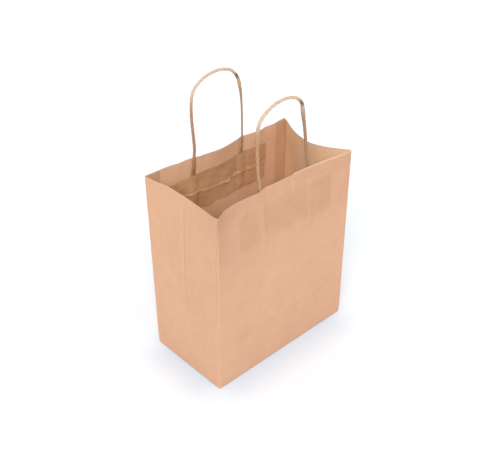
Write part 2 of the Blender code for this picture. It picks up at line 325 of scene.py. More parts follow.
@dataclass(frozen=True)
class CordFinish:
    """Paper strips twisted to a cord: fibres and creases that run along each ply, painted shade in the
    grooves and on the legs, and painted light on the loop's top.
    """

    name: str
    pale: Colour
    deep: Colour
    # groove: the colour of painted shade in the grooves and on the legs
    groove: Colour
    # the colour of painted light on the loop's top
    painted_top_light: Colour
    crease_depth: float = 0.00018

    def build(self) -> bpy.types.Material:
        """Makes the material.

        Returns:
            A Principled material that reads the cord's strand attribute, which follows the twist.
        """
        material = bpy.data.materials.new(self.name)
        material.use_nodes = True
        graph = NodeGraph(material.node_tree)
        strand = graph.attribute("strand").outputs["Vector"]
        depth = graph.attribute("groove").outputs["Fac"]
        wrinkle = graph.noise(graph.stretch(strand, (1.0, 1.0, 0.09)), 1500.0, 3.0, 0.6)
        fibre = graph.noise(graph.stretch(strand, (1.0, 1.0, 0.2)), 4200.0, 2.0, 0.6)
        patchy = graph.noise(strand, 160.0, 2.0, 0.5)
        shade = graph.math("MULTIPLY_ADD", wrinkle, 0.7, graph.math("MULTIPLY", patchy, 0.6))
        colour = graph.mix(graph.ramp(shade, 0.4, 0.95), self.pale, self.deep)
        # Painted light on the loop's top, in patches.
        patchy_light = graph.ramp(patchy, 0.3, 0.6, 0.6, 0.9)
        top_light_share = graph.math("MULTIPLY", graph.attribute("painted_top_light").outputs["Fac"], patchy_light)
        colour = graph.mix(top_light_share, colour, self.painted_top_light)
        # Painted shade in the twist's grooves.
        colour = graph.mix(graph.ramp(depth, 0.45, 1.0, 0.0, 0.42), colour, self.groove)
        # Painted shade on the legs, the right leg and the kink, towards the groove colour.
        cord_shade = graph.math("MULTIPLY", graph.attribute("cord_shade").outputs["Fac"], 0.22)
        colour = graph.mix(cord_shade, colour, self.groove)
        height = graph.math("MULTIPLY_ADD", fibre, 0.35, wrinkle)
        bump = graph.add("ShaderNodeBump", {"Height": height, "Distance": self.crease_depth, "Strength": 1.0})
        shader = material.node_tree.nodes["Principled BSDF"]
        shader.inputs["Specular IOR Level"].default_value = 0.35
        links = material.node_tree.links
        links.new(colour, shader.inputs["Base Color"])
        links.new(graph.ramp(fibre, 0.3, 0.7, 0.45, 0.6), shader.inputs["Roughness"])
        links.new(bump.outputs["Normal"], shader.inputs["Normal"])
        return material


def new_object(name: str, mesh: bpy.types.Mesh, material: bpy.types.Material) -> bpy.types.Object:
    """Wraps a mesh in an object at the origin.

    Args:
        name: The piece's name.
        mesh: Its mesh, already in place.
        material: Its finish.

    Returns:
        The object, linked to the scene.
    """
    if not mesh.materials:
        mesh.materials.append(material)
    thing = bpy.data.objects.new(name, mesh)
    bpy.context.scene.collection.objects.link(thing)
    return thing


def bake_modifiers(thing: bpy.types.Object) -> bpy.types.Mesh:
    """Makes a new mesh of what an object's modifiers make of it.

    Args:
        thing: A mesh or curve object with modifiers.

    Returns:
        The evaluated mesh as plain data.
    """
    graph = bpy.context.evaluated_depsgraph_get()
    return bpy.data.meshes.new_from_object(thing.evaluated_get(graph))


def read_points(mesh: bpy.types.Mesh) -> Array:
    """The mesh's vertices as rows of x, y and z."""
    flat = np.zeros(len(mesh.vertices) * 3, np.float32)
    mesh.vertices.foreach_get("co", flat)
    return flat.reshape(-1, 3).astype(float)


def write_points(mesh: bpy.types.Mesh, points: Array) -> None:
    """Moves the mesh's vertices."""
    mesh.vertices.foreach_set("co", points.astype(np.float32).ravel())
    mesh.update()


def write_attribute(mesh: bpy.types.Mesh, name: str, values: Array) -> None:
    """Stores one number for each vertex."""
    attribute = mesh.attributes.new(name, "FLOAT", "POINT")
    attribute.data.foreach_set("value", np.asarray(values, np.float32))


def grid_faces(rows: int, columns: int, closed: bool) -> list[tuple[int, int, int, int]]:
    """The quads of a grid of vertices that is numbered row by row.

    Args:
        rows: How many rows of vertices there are.
        columns: How many vertices each row has.
        closed: Whether each row ends where it starts.

    Returns:
        Four vertex numbers for each quad.
    """
    last = columns if closed else columns - 1
    faces = []
    for row in range(rows - 1):
        for column in range(last):
            beside = (column + 1) % columns
            low, high = row * columns, (row + 1) * columns
            faces.append((low + column, low + beside, high + beside, high + column))
    return faces


def read_normals(mesh: bpy.types.Mesh) -> Array:
    """The mesh's vertex normals as rows of x, y and z."""
    flat = np.zeros(len(mesh.vertices) * 3, np.float32)
    mesh.vertex_normals.foreach_get("vector", flat)
    return flat.reshape(-1, 3).astype(float)


def thicken(sheet: bpy.types.Mesh, thickness: Array, marks: dict[str, Array]) -> bpy.types.Mesh:
    """Closes an open sheet with a second skin behind it, against its normals.

    Args:
        sheet: The open sheet.
        thickness: How far back the second skin lies at each vertex.
        marks: Attributes to store, with one number for each vertex of the open sheet.

    Returns:
        The closed sheet, with "ply" telling the skins apart: zero in front and one behind.
    """
    front, count = read_points(sheet), len(sheet.vertices)
    behind = front - read_normals(sheet) * np.asarray(thickness)[:, None]
    faces = [tuple(face.vertices) for face in sheet.polygons]
    edges = {(a, b) for face in faces for a, b in zip(face, face[1:] + face[:1])}
    skins = faces + [tuple(index + count for index in reversed(face)) for face in faces]
    sides = [(b, a, a + count, b + count) for a, b in edges if (b, a) not in edges]
    closed = bpy.data.meshes.new(f"{sheet.name}_closed")
    closed.from_pydata(np.concatenate([front, behind]).tolist(), [], skins + sides)
    for name, values in marks.items():
        write_attribute(closed, name, np.tile(values, 2))
    write_attribute(closed, "ply", np.repeat([0.0, 1.0], count))
    closed.shade_smooth()
    closed.set_sharp_from_angle(angle=math.radians(50))
    return closed


@dataclass(frozen=True)
class Flare:
    """Shifts of the four upper corners, which the flexed rim pulls out of line. They die out downwards."""

    width: float
    depth: float
    height: float
    shifts: tuple[tuple[int, int, float, float], ...] = (
        (-1, 1, -0.0022, 0.0020), (-1, -1, 0.0002, -0.0022),
        (1, 1, 0.0020, -0.0020), (1, -1, -0.0013, 0.0011),
    )

    def apply(self, mesh: bpy.types.Mesh) -> None:
        """Moves a piece's vertices with the corners."""
        points = read_points(mesh)
        x, y = points[:, 0] / (self.width / 2), points[:, 1] / (self.depth / 2)
        share = np.clip(points[:, 2] / self.height, 0.0, 1.0)
        for x_side, y_side, x_shift, y_shift in self.shifts:
            weight = (1 + x_side * x) * (1 + y_side * y) / 4 * share
            points[:, 0] += weight * x_shift
            points[:, 1] += weight * y_shift
        write_points(mesh, points)


@dataclass(frozen=True)
class BagForm:
    """The sizes of the bag and the shape of its walls at rest, as the model's source has them."""

    width: float
    depth: float
    height: float
    paper: float = 0.00018
    base_fold: float = 0.0012
    seam_flap: float = 0.020
    bottom_lap: float = 0.015
    front_bow: float = 0.012
    front_bow_drop: float = 0.130
    front_rise_left: float = 0.040
    front_rise_right: float = 0.110
    back_bow: float = 0.0085
    back_bow_drop: float = 0.075
    back_bow_place: float = -0.007
    back_bow_reach: float = 0.055
    back_dip: float = 0.0035
    back_dip_place: float = 0.063
    back_dip_reach: float = 0.034
    right_fold: float = 0.0255
    right_rise_front: float = 0.058
    right_rise_back: float = 0.068
    left_fold: float = 0.005
    left_rise_front: float = 0.080
    left_rise_back: float = 0.035
    bow_power: float = 1.5

    @classmethod
    def from_frame(cls) -> "BagForm":
        """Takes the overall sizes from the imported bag."""
        low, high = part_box("paper_bag")
        return cls(width=high.x - low.x, depth=high.y - low.y, height=high.z)

    def fade(self, z: Array, drop: float) -> Array:
        """The share of the rim's bow that is left at height z."""
        return np.clip(1 - (self.height - np.asarray(z)) / drop, 0.0, 1.0) ** self.bow_power

    def front_y(self, x: Array, z: Array) -> Array:
        """Outer face of the front panel."""
        half = self.width / 2
        shape = rise(half + x, self.front_rise_left) * rise(half - x, self.front_rise_right)
        return -self.depth / 2 + self.front_bow * shape * self.fade(z, self.front_bow_drop)

    def back_y(self, x: Array, z: Array) -> Array:
        """Outer face of the back panel."""
        bow = self.back_bow * swell(x - self.back_bow_place, self.back_bow_reach)
        dip = self.back_dip * swell(x - self.back_dip_place, self.back_dip_reach)
        return self.depth / 2 - (bow + dip) * self.fade(z, self.back_bow_drop)

    def right_x(self, y: Array, z: Array) -> Array:
        """Outer face of the right gusset."""
        half = self.depth / 2
        shape = rise(half + y, self.right_rise_front) * rise(half - y, self.right_rise_back)
        return self.width / 2 - self.right_fold * shape * self.fade(z, self.height - half)

    def left_x(self, y: Array, z: Array) -> Array:
        """Outer face of the left gusset."""
        half = self.depth / 2
        shape = rise(half + y, self.left_rise_front) * rise(half - y, self.left_rise_back)
        return -self.width / 2 + self.left_fold * shape * self.fade(z, self.height - half)

    def panel_y(self, side: Side, x: Array, z: Array) -> Array:
        """Outer face of one of the wide panels."""
        return self.front_y(x, z) if side is Side.FRONT else self.back_y(x, z)


@dataclass(frozen=True)
class HandlePlan:
    """Sizes and route of one handle, as the model's source has them."""

    side: Side
    place: float
    top: float
    lean: float
    loop: tuple[tuple[float, float], ...]
    girth: tuple[tuple[float, float], ...]
    kink: tuple[float, float]
    # How strongly painted shade darkens the right leg.
    right_leg_shade: float
    kink_reach: float = 0.0085
    foot_shift: float = 0.0
    cord: float = 0.004
    leg_pitch: float = 0.076
    leg_length: float = 0.068
    glue_gap: float = 0.0003

    @property
    def name(self) -> str:
        """The name of the handle's own node."""
        return f"{self.side.name.lower()}_handle"

    @property
    def legs(self) -> tuple[float, float]:
        """The x of the two legs."""
        return (self.place - self.leg_pitch / 2, self.place + self.leg_pitch / 2)


FRONT_PLAN = HandlePlan(
    side=Side.FRONT, place=0.0054, top=0.0945, lean=0.0055,
    loop=(
        (-1.045, 0.06), (-1.08, 0.19), (-1.088, 0.35), (-1.076, 0.53), (-1.05, 0.70), (-0.995, 0.793),
        (-0.92, 0.842), (-0.82, 0.88), (-0.68, 0.916), (-0.52, 0.948), (-0.28, 0.979), (-0.01, 0.992),
        (0.25, 0.985), (0.47, 0.957), (0.63, 0.912), (0.735, 0.858), (0.765, 0.79), (0.787, 0.72),
        (0.827, 0.61), (0.865, 0.50), (0.895, 0.37), (0.925, 0.24), (0.96, 0.11),
    ),
    girth=(
        (0.0, 1.05), (0.30, 1.05), (0.42, 0.96), (0.55, 0.90), (0.59, 1.0), (0.625, 1.32),
        (0.66, 1.0), (0.75, 0.94), (0.84, 1.08), (1.0, 1.0),
    ),
    kink=(0.70, 0.875),
    kink_reach=0.0095,
    right_leg_shade=1.3,
    foot_shift=-0.0016,
)
BACK_PLAN = HandlePlan(
    side=Side.BACK, place=-0.0047, top=0.100, lean=0.0015,
    loop=(
        (-0.965, 0.12), (-0.99, 0.30), (-1.02, 0.46), (-1.026, 0.60), (-1.008, 0.727), (-0.958, 0.812),
        (-0.86, 0.873), (-0.70, 0.921), (-0.52, 0.958), (-0.31, 0.981), (-0.09, 0.993), (0.14, 0.992),
        (0.375, 0.972), (0.55, 0.945), (0.683, 0.902), (0.793, 0.85), (0.873, 0.785), (0.913, 0.71),
        (0.96, 0.61), (0.992, 0.45), (1.003, 0.28), (1.0, 0.12),
    ),
    girth=(
        (0.0, 0.94), (0.30, 0.88), (0.45, 0.84), (0.58, 0.88), (0.625, 1.12), (0.65, 0.86), (0.70, 0.60),
        (0.82, 0.58), (1.0, 0.70),
    ),
    kink=(0.77, 0.858),
    right_leg_shade=0.3,
)


RIM_LIFT = {
    Panel.FRONT: (
        (-0.110, -0.0006), (-0.090, -0.0010), (-0.080, -0.0014), (-0.062, -0.0022), (-0.050, -0.0028),
        (-0.038, -0.0026), (-0.028, -0.0015), (0.0, -0.0014), (0.0148, -0.0017), (0.0180, 0.0008),
        (0.040, 0.0008), (0.060, 0.0015), (0.100, 0.0018), (0.110, 0.0015),
    ),
    Panel.RIGHT: ((-0.060, 0.0015), (-0.030, 0.0013), (0.0, 0.0015), (0.030, 0.0014), (0.060, 0.0015)),
    Panel.BACK: (
        (-0.110, 0.0), (-0.080, 0.0003), (-0.060, -0.0012), (-0.040, -0.0002), (-0.020, 0.0008),
        (0.010, 0.0009), (0.045, 0.0004), (0.063, 0.0006), (0.085, 0.0007), (0.100, 0.0012), (0.110, 0.0015),
    ),
    Panel.LEFT: (
        (-0.060, -0.0006), (-0.052, -0.0023), (-0.042, -0.0020), (-0.025, -0.0016), (-0.012, -0.0014),
        (0.0, -0.0010), (0.015, -0.0005), (0.028, -0.0005), (0.038, -0.0013), (0.048, -0.0013), (0.060, 0.0),
    ),
}


@dataclass
class PaperBag:
    """The folded sheet: four walls, the seam and the block bottom."""

    form: BagForm
    plans: tuple[HandlePlan, ...]
    fold_radius: float = 0.0007
    foot_radius: float = 0.0024
    foot_height: float = 0.016
    corner_steps: int = 4
    base_steps: int = 4
    buckles: Ripples = Ripples(seed=4, height=0.00032, shortest=0.035, longest=0.12)
    wrinkles: Ripples = Ripples(seed=9, height=0.00013, shortest=0.009, longest=0.030, waves=22)
    rim_rows: float = 0.006
    patch_band: tuple[float, float] = (0.176, 0.228)
    front_show_through: tuple[float, float, float, float] = (-0.073, 0.079, 0.185, 0.231)
    back_show_through: tuple[float, float, float, float] = (-0.081, 0.075, 0.182, 0.228)
    show_through_edge: Ripples = Ripples(seed=15, height=0.0042, shortest=0.012, longest=0.050, waves=14)
    gusset_crease: float = 0.0008
    gusset_crease_half: float = 0.0032
    corner_crease: float = 0.0009
    corner_crease_half: float = 0.0012
    corner_crease_path: tuple[tuple[float, float], ...] = (
        (0.098, 0.0044), (0.122, 0.0053), (0.137, 0.0052), (0.170, 0.0056), (0.192, 0.0060),
        (0.205, 0.0040), (0.222, 0.0018), (0.250, 0.0008),
    )
    nick_place: float = 0.0165
    nick_depth: float = 0.0012
    rim_lift_drop: float = 0.070
    gusset_crease_place: float = 0.0010
    front_bends: tuple[tuple[float, float, float], ...] = (
        (-0.096, 0.016, 0.0010), (-0.0245, 0.009, 0.0010), (-0.040, 0.009, -0.0011),
    )
    back_bends: tuple[tuple[float, float, float], ...] = (
        (0.036, 0.008, 0.0012), (0.074, 0.009, 0.0012), (0.091, 0.011, -0.0015),
        (-0.062, 0.012, -0.0008), (-0.035, 0.007, -0.0009),
    )

    def half(self, panel: Panel) -> float:
        """Half of a panel's width."""
        return (self.form.depth if panel in (Panel.LEFT, Panel.RIGHT) else self.form.width) / 2

    def heights(self) -> Array:
        """Heights of the rows of vertices above the base fold."""
        form = self.form
        fold_line = form.depth / 2
        return stations(
            (form.base_fold, fold_line + 0.006, 0.0021),
            (fold_line + 0.006, form.height - 0.080, 0.0031),
            (form.height - 0.080, form.height - self.rim_rows, 0.0021),
            (form.height - self.rim_rows, form.height, 0.0010),
        )

    def columns(self, panel: Panel) -> Array:
        """Places of a panel's columns of vertices, along x or y, from one rounded fold to the other."""
        edge = self.half(panel) - self.fold_radius
        if panel is Panel.FRONT:
            return stations(
                (-edge, -0.104, 0.001), (-0.104, 0.011, 0.0026),
                (0.011, 0.022, 0.0008), (0.022, edge, 0.0026),
            )
        if panel is Panel.BACK:
            flap = -self.form.width / 2 + self.form.seam_flap
            past_flap = flap + 0.0004
            return stations((-edge, flap, 0.0027), (flap, past_flap, 0.0004), (past_flap, edge, 0.0027))
        if panel is Panel.LEFT:
            return stations(
                (-edge, -0.053, 0.0006), (-0.053, -0.003, 0.0025),
                (-0.003, 0.003, 0.0008), (0.003, edge, 0.0025),
            )
        return stations((-edge, -0.003, 0.0024), (-0.003, 0.003, 0.0008), (0.003, edge, 0.0024))

    def unevenness(self, panel: Panel, across: Array, z: Array) -> Array:
        """How far the paper lies out of its smooth shape, inwards, pinned at the folds and at the base."""
        half = self.half(panel)
        order = list(Panel).index(panel)
        pin = rise(half - np.abs(across), 0.03) * rise(z, 0.03)
        waves = self.buckles.at(across + order, z) * pin
        tight = rise(half - np.abs(across), 0.012) * rise(z, 0.012)
        return waves + self.wrinkles.at(across + 2 * order, z) * tight * 0.35

    def show_through_shade(self, panel: Panel, x: Array, z: Array) -> Array:
        """How far painted show-through shade darkens a wide panel where a strip lies behind it, with ragged
        edges and less over the legs.
        """
        left, right, low, high = self.front_show_through if panel is Panel.FRONT else self.back_show_through
        ragged = self.show_through_edge.at(x, z)
        inside_x = smooth(x + 0.3 * ragged, left - 0.002, left + 0.003)
        inside_x = inside_x * smooth(-x, -right - 0.001, -right + 0.003)
        inside_z = smooth(z + ragged, low - 0.004, low + 0.005)
        inside_z = inside_z * smooth(0.4 * ragged - z, -high - 0.003, -high + 0.004)
        plan = self.plans[0] if panel is Panel.FRONT else self.plans[1]
        left_leg, right_leg = plan.legs
        pale = 0.60 * swell(x - left_leg + 0.005, 0.0085) + 0.15 * swell(x - right_leg, 0.006)
        return inside_x * inside_z * (1 - pale) * (0.78 + 0.22 * smooth(x, -0.030, 0.050))

    def cord_relief(self, panel: Panel, x: Array, z: Array) -> Array:
        """How far a wide panel is pushed out over the legs of its handle."""
        plan = self.plans[0] if panel is Panel.FRONT else self.plans[1]
        low, high = self.patch_band
        share = smooth(z, low - 0.004, low + 0.004) * (1 - 0.6 * smooth(z, high, high + 0.012))
        return sum(swell(x - leg, 0.0045) for leg in plan.legs) * share * 0.0006

    def nick(self, x: Array, z: Array) -> Array:
        """The small kink in the front rim, right of which the paper stands further out."""
        edge = smooth(x, self.nick_place - 0.0010, self.nick_place + 0.0010)
        ending = 1 - smooth(x, self.nick_place + 0.006, self.nick_place + 0.040)
        return self.nick_depth * edge * ending * self.form.fade(z, 0.022)

    def front_points(self, x: Array, z: Array) -> Array:
        """Points of the front panel's outer face."""
        form = self.form
        y = form.front_y(x, z) + self.unevenness(Panel.FRONT, x, z)
        y = y + 0.0004 * crease(z - form.depth / 2, 0.0025) * rise(form.width / 2 - np.abs(x), 0.02)
        y = y - self.cord_relief(Panel.FRONT, x, z) - self.nick(x, z)
        y = y + bends(x, self.front_bends) * form.fade(z, 0.045)
        y = y - 0.0013 * smooth(x, 0.035, 0.060) * smooth(-x, -0.110, -0.100) * form.fade(z, 0.100)
        dent = 0.0008 * swell(x - self.nick_place, 0.0016) * smooth(z, form.height - 0.003, form.height)
        return np.stack(np.broadcast_arrays(x, y, z - dent), axis=-1)

    def back_points(self, x: Array, z: Array) -> Array:
        """Points of the back panel's outer face."""
        form = self.form
        y = form.back_y(x, z) - self.unevenness(Panel.BACK, x, z) + self.cord_relief(Panel.BACK, x, z)
        y = y + bends(x, self.back_bends) * form.fade(z, 0.050)
        return np.stack(np.broadcast_arrays(x, y, z), axis=-1)

    def corner_folds(self, y: Array, z: Array) -> Array:
        """The 45 degree folds that rise from the base's corners to the middle of a gusset."""
        distance = (np.abs(y) + z - self.form.depth / 2) / math.sqrt(2)
        return crease(distance, self.gusset_crease_half) * smooth(z, 0.001, 0.006)

    def middle_fold(self, y: Array, z: Array) -> Array:
        """The upright fold in the middle of a gusset, sharpest in the upper half, and faint at the rim."""
        form = self.form
        share = smooth(z, form.depth / 2 - 0.004, form.depth / 2 + 0.070)
        share = share * (1 - 0.75 * smooth(z, form.height - 0.030, form.height - 0.006))
        return crease(y - self.gusset_crease_place, self.gusset_crease_half) * share

    def left_points(self, y: Array, z: Array) -> Array:
        """Points of the left gusset's outer face."""
        form = self.form
        x = form.left_x(y, z) + self.unevenness(Panel.LEFT, y, z)
        x = x + self.gusset_crease * (self.middle_fold(y, z) + 0.7 * self.corner_folds(y, z))
        heights, offsets = zip(*self.corner_crease_path)
        path = -form.depth / 2 + np.interp(z, heights, offsets)
        strength = smooth(z, heights[0], heights[2])
        x = x + self.corner_crease * crease(y - path, self.corner_crease_half) * strength
        return np.stack(np.broadcast_arrays(x, y, z), axis=-1)

    def right_points(self, y: Array, z: Array) -> Array:
        """Points of the right gusset's outer face."""
        form = self.form
        x = form.right_x(y, z) - self.unevenness(Panel.RIGHT, y, z)
        x = x - self.gusset_crease * (self.middle_fold(y, z) + 0.7 * self.corner_folds(y, z))
        x = x + 0.0018 * smooth(y, -0.012, 0.008) * smooth(-y, -0.060, -0.048) * form.fade(z, 0.120)
        return np.stack(np.broadcast_arrays(x, y, z), axis=-1)

    def corner(self, start: Array, end: Array, x_sign: int, y_sign: int, z: Array) -> Array:
        """The rounded fold between two panels.

        Args:
            start: The last column of the panel before the fold.
            end: The first column of the panel after it.
            x_sign: Which end of the bag's width the fold is at.
            y_sign: Which end of its depth.
            z: The rows' heights.

        Returns:
            The columns in between, as rows of points.
        """
        wobble = 0.00025 * np.sin(z * 95 + x_sign * 2 + y_sign) * smooth(z, 0.03, 0.09)
        tip = np.stack(np.broadcast_arrays(x_sign * self.form.width / 2 - x_sign * np.abs(wobble),
                                           y_sign * self.form.depth / 2 + wobble * 0.5, z), axis=-1)
        between = []
        for step in range(1, self.corner_steps):
            t = step / self.corner_steps
            between.append((1 - t) ** 2 * start + 2 * t * (1 - t) * tip + t**2 * end)
        return np.stack(between, axis=1)

    def spread(self, panel: Panel, z: Array) -> Array:
        """Scale of a panel's columns at height z, which makes room for the blunter corners at the foot."""
        half = self.half(panel)
        radius = self.foot_radius + (self.fold_radius - self.foot_radius) * smooth(z, 0.0, self.foot_height)
        return (half - radius) / (half - self.fold_radius)

    def walls(self) -> tuple[Array, dict[Panel, slice]]:
        """The outer face of the walls above the base fold.

        Returns:
            The points, as rows by columns, and which columns belong to each panel.
        """
        z = self.heights()
        makers = {
            Panel.FRONT: self.front_points, Panel.RIGHT: self.right_points,
            Panel.BACK: self.back_points, Panel.LEFT: self.left_points,
        }
        order = {Panel.FRONT: 1, Panel.RIGHT: 1, Panel.BACK: -1, Panel.LEFT: -1}
        corners = {Panel.FRONT: (1, -1), Panel.RIGHT: (1, 1), Panel.BACK: (-1, 1), Panel.LEFT: (-1, -1)}
        blocks = {}
        for panel in Panel:
            across = self.columns(panel)[:: order[panel]][None, :] * self.spread(panel, z)[:, None]
            blocks[panel] = makers[panel](across, z[:, None])
        ring, spans, column = [], {}, 0
        for panel, after in zip(Panel, (Panel.RIGHT, Panel.BACK, Panel.LEFT, Panel.FRONT)):
            spans[panel] = slice(column, column + blocks[panel].shape[1])
            fold = self.corner(blocks[panel][:, -1], blocks[after][:, 0], *corners[panel], z)
            ring += [blocks[panel], fold]
            column += blocks[panel].shape[1] + fold.shape[1]
        points = np.concatenate(ring, axis=1)
        lift = self.rim_lift(points[-1], spans)
        points[..., 2] += lift[None, :] * self.form.fade(points[..., 2], self.rim_lift_drop)
        return points, spans

    def rim_lift(self, rim: Array, spans: dict[Panel, slice]) -> Array:
        """How far the rim wanders up or down at each column.

        Args:
            rim: The points of the rim.
            spans: Which columns belong to each panel.

        Returns:
            A height for each column. The columns of a corner lead from one panel to the next.
        """
        known, lifts = [], []
        for panel, span in spans.items():
            along = rim[span, 0 if panel in (Panel.FRONT, Panel.BACK) else 1]
            places, heights = zip(*RIM_LIFT[panel])
            known += range(span.start, span.stop)
            lifts += np.interp(along, places, heights).tolist()
        return np.interp(np.arange(len(rim)), known, lifts, period=len(rim))

    def base_level(self, x: float, y: float) -> float:
        """Height of the underside of the block bottom: the front flap lies under the back flap, which lies
        under the folded ends."""
        form, near = self.form, 1e-5
        diagonal = (form.width - form.depth) / 2
        if abs(x) + y < diagonal + near and y < form.bottom_lap + near:
            return 0.0
        return form.paper if abs(x) - y < diagonal + near else 2 * form.paper

    def fold_under(self, wall: Array) -> Array:
        """The rows of the base fold, which lead from the bottom of the walls to the bottom's underside.

        Args:
            wall: The walls' points, row by row.

        Returns:
            The rows below the walls, lowest first.
        """
        form = self.form
        foot = wall[0]
        level = np.array([self.base_level(x, y) for x, y in foot[:, :2]])
        along = np.roll(foot[:, :2], -1, axis=0) - np.roll(foot[:, :2], 1, axis=0)
        inward = np.column_stack([-along[:, 1], along[:, 0]]) / np.linalg.norm(along, axis=1, keepdims=True)
        rows = []
        for step in range(self.base_steps):
            turn = math.pi / 2 * step / self.base_steps
            inset = form.base_fold * (1 - math.sin(turn))
            height = level + (form.base_fold - level) * (1 - math.cos(turn))
            rows.append(np.column_stack([foot[:, :2] + inward * inset, height]))
        return np.stack(rows)

    def close_bottom(self, shape: bmesh.types.BMesh, ring: list[bmesh.types.BMVert]) -> None:
        """Closes the bottom with one face, cut and stepped where its glued flaps end.

        Args:
            shape: The walls, with the base fold.
            ring: The lowest ring of vertices, in order.
        """
        form, step = self.form, 0.00006
        diagonal = (form.width - form.depth) / 2
        bottom = [shape.faces.new(ring[::-1])]
        cuts = [((0, form.bottom_lap, 0), (0, 1, 0))]
        for x_sign in (-1, 1):
            for y_sign in (-1, 1):
                cuts.append(((x_sign * diagonal, 0, 0), (x_sign, y_sign, 0)))
        for point, direction in cuts:
            normal = Vector(direction).normalized()
            for shift in (0, step):
                around = {item for face in bottom for item in (*face.verts, *face.edges)}
                cut = bmesh.ops.bisect_plane(
                    shape, geom=bottom + list(around), dist=1e-7,
                    plane_co=Vector(point) + normal * shift, plane_no=normal,
                )
                pieces = [item for item in cut["geom"] if isinstance(item, bmesh.types.BMFace)]
                level = [face for face in pieces if abs(face.normal.z) > 0.5]
                bottom = [face for face in level if face.calc_center_median().z < 0.0008]
        ring_set = set(ring)
        for vertex in {vertex for face in bottom for vertex in face.verts}:
            if vertex not in ring_set:
                vertex.co.z = self.base_level(vertex.co.x, vertex.co.y)

    def build(self, material: bpy.types.Material) -> bpy.types.Object:
        """Builds the bag.

        Args:
            material: The kraft paper.

        Returns:
            The finished piece.
        """
        walls, spans = self.walls()
        points = np.concatenate([self.fold_under(walls), walls])
        rows, columns = points.shape[:2]
        flat = points.reshape(-1, 3)
        sheet = bpy.data.meshes.new("bag_sheet")
        sheet.from_pydata(flat.tolist(), [], grid_faces(rows, columns, closed=True))
        seam = np.zeros((rows, columns))
        back = spans[Panel.BACK]
        seam[:, back] = points[:, back, 0] < -self.form.width / 2 + self.form.seam_flap + 0.0002
        # covered: the darker seam flap, then the painted show-through shade of the strips behind the wide
        # panels
        covered = seam.copy()
        x, z = points[..., 0], points[..., 2]
        for panel in (Panel.FRONT, Panel.BACK):
            span = spans[panel]
            covered[:, span] = np.maximum(covered[:, span], self.show_through_shade(panel, x[:, span], z[:, span]))
        wear_and_highlight = self.wear_and_highlight_share(points, spans)
        shape = bmesh.new()
        shape.from_mesh(sheet)
        shape.verts.ensure_lookup_table()
        self.close_bottom(shape, [shape.verts[index] for index in range(columns)])
        shape.to_mesh(sheet)
        shape.free()
        extra = np.zeros(len(sheet.vertices) - len(flat))
        thickness = self.form.paper * (1 + np.concatenate([seam.ravel(), extra]))
        named = {"covered": covered, "wear_and_highlight": wear_and_highlight, **self.tones(points, spans)}
        marks = {name: np.concatenate([values.ravel(), extra]) for name, values in named.items()}
        return new_object("paper_bag_sheet", thicken(sheet, thickness, marks), material)

    def tones(self, points: Array, spans: dict[Panel, slice]) -> dict[str, Array]:
        """Where painted shade darkens the paper along its folds, near the front's top and in the inner
        corners, and where painted light makes it paler inside.

        Args:
            points: The points of the sheet, as rows by columns.
            spans: Which columns belong to each panel.

        Returns:
            A share for each point: painted shade along folds and near the front's top for both faces, and
                painted shade ("shaded") and painted light ("lit") for the inner face.
        """
        painted_shade, lit = np.zeros(points.shape[:2]), np.zeros(points.shape[:2])
        # Painted shade along the left gusset's creases.
        y, z = points[:, spans[Panel.LEFT], 1], points[:, spans[Panel.LEFT], 2]
        corner_line = crease(y + 0.0583, 0.0013) * smooth(z, 0.208, 0.224)
        heights, offsets = zip(*self.corner_crease_path)
        path = -self.form.depth / 2 + np.interp(z, heights, offsets)
        lower_line = 0.25 * crease(y - path, 0.0015) * smooth(z, heights[0], heights[2])
        middle_line = 0.22 * crease(y + 0.0006, 0.0030) * smooth(z, 0.140, 0.165)
        middle_line = middle_line * (1 - smooth(z, 0.228, 0.240))
        painted_shade[:, spans[Panel.LEFT]] = np.maximum(np.maximum(corner_line, lower_line), middle_line)
        # Painted shade along the front's fold at half depth and towards its top.
        z = points[:, spans[Panel.FRONT], 2]
        fold_line = 0.12 * crease(z - 0.062, 0.0025)
        upper = 0.13 * smooth(z, 0.150, 0.200) + 0.13 * smooth(z, 0.228, 0.236)
        painted_shade[:, spans[Panel.FRONT]] = np.maximum(fold_line, upper)
        # Painted light: the inner face of the right gusset is made paler still.
        lit[:, spans[Panel.RIGHT]] = 1 - smooth(points[:, spans[Panel.RIGHT], 1], 0.050, 0.058)
        x, y, z = (points[..., axis] for axis in range(3))
        corner = smooth(x, 0.0925, 0.0965) * smooth(y, 0.050, 0.055) * smooth(z, 0.060, 0.130)
        flap = (x < -self.form.width / 2 + self.form.seam_flap + 0.0002) * smooth(y, 0.050, 0.055)
        return {"painted_shade": painted_shade, "shaded": np.maximum(0.52 * corner, 0.40 * flap), "lit": lit}

    def wear_and_highlight_share(self, points: Array, spans: dict[Panel, slice]) -> Array:
        """How much paler the paper is made: on the folds, and most of all along the rim's cut edge, partly as
        rubbed paper and partly as painted highlight.

        Args:
            points: The points of the sheet, as rows by columns.
            spans: Which columns belong to each panel.

        Returns:
            A share for each point.
        """
        form = self.form
        y, z = points[..., 1], points[..., 2]
        wear_and_highlight = np.ones(points.shape[:2]) * 0.04
        for panel in Panel:
            wear_and_highlight[:, spans[panel]] = 0.0
        for panel in (Panel.LEFT, Panel.RIGHT):
            span = spans[panel]
            along, up = y[:, span], z[:, span]
            fold = np.maximum(self.middle_fold(along, up), 0.6 * self.corner_folds(along, up))
            wear_and_highlight[:, span] = np.maximum(wear_and_highlight[:, span], 0.08 * fold)
        # Painted highlight along the rim, with the paler cut edge.
        rim = smooth(z, form.height - 0.0022, form.height)
        return np.maximum(wear_and_highlight, 0.7 * rim)


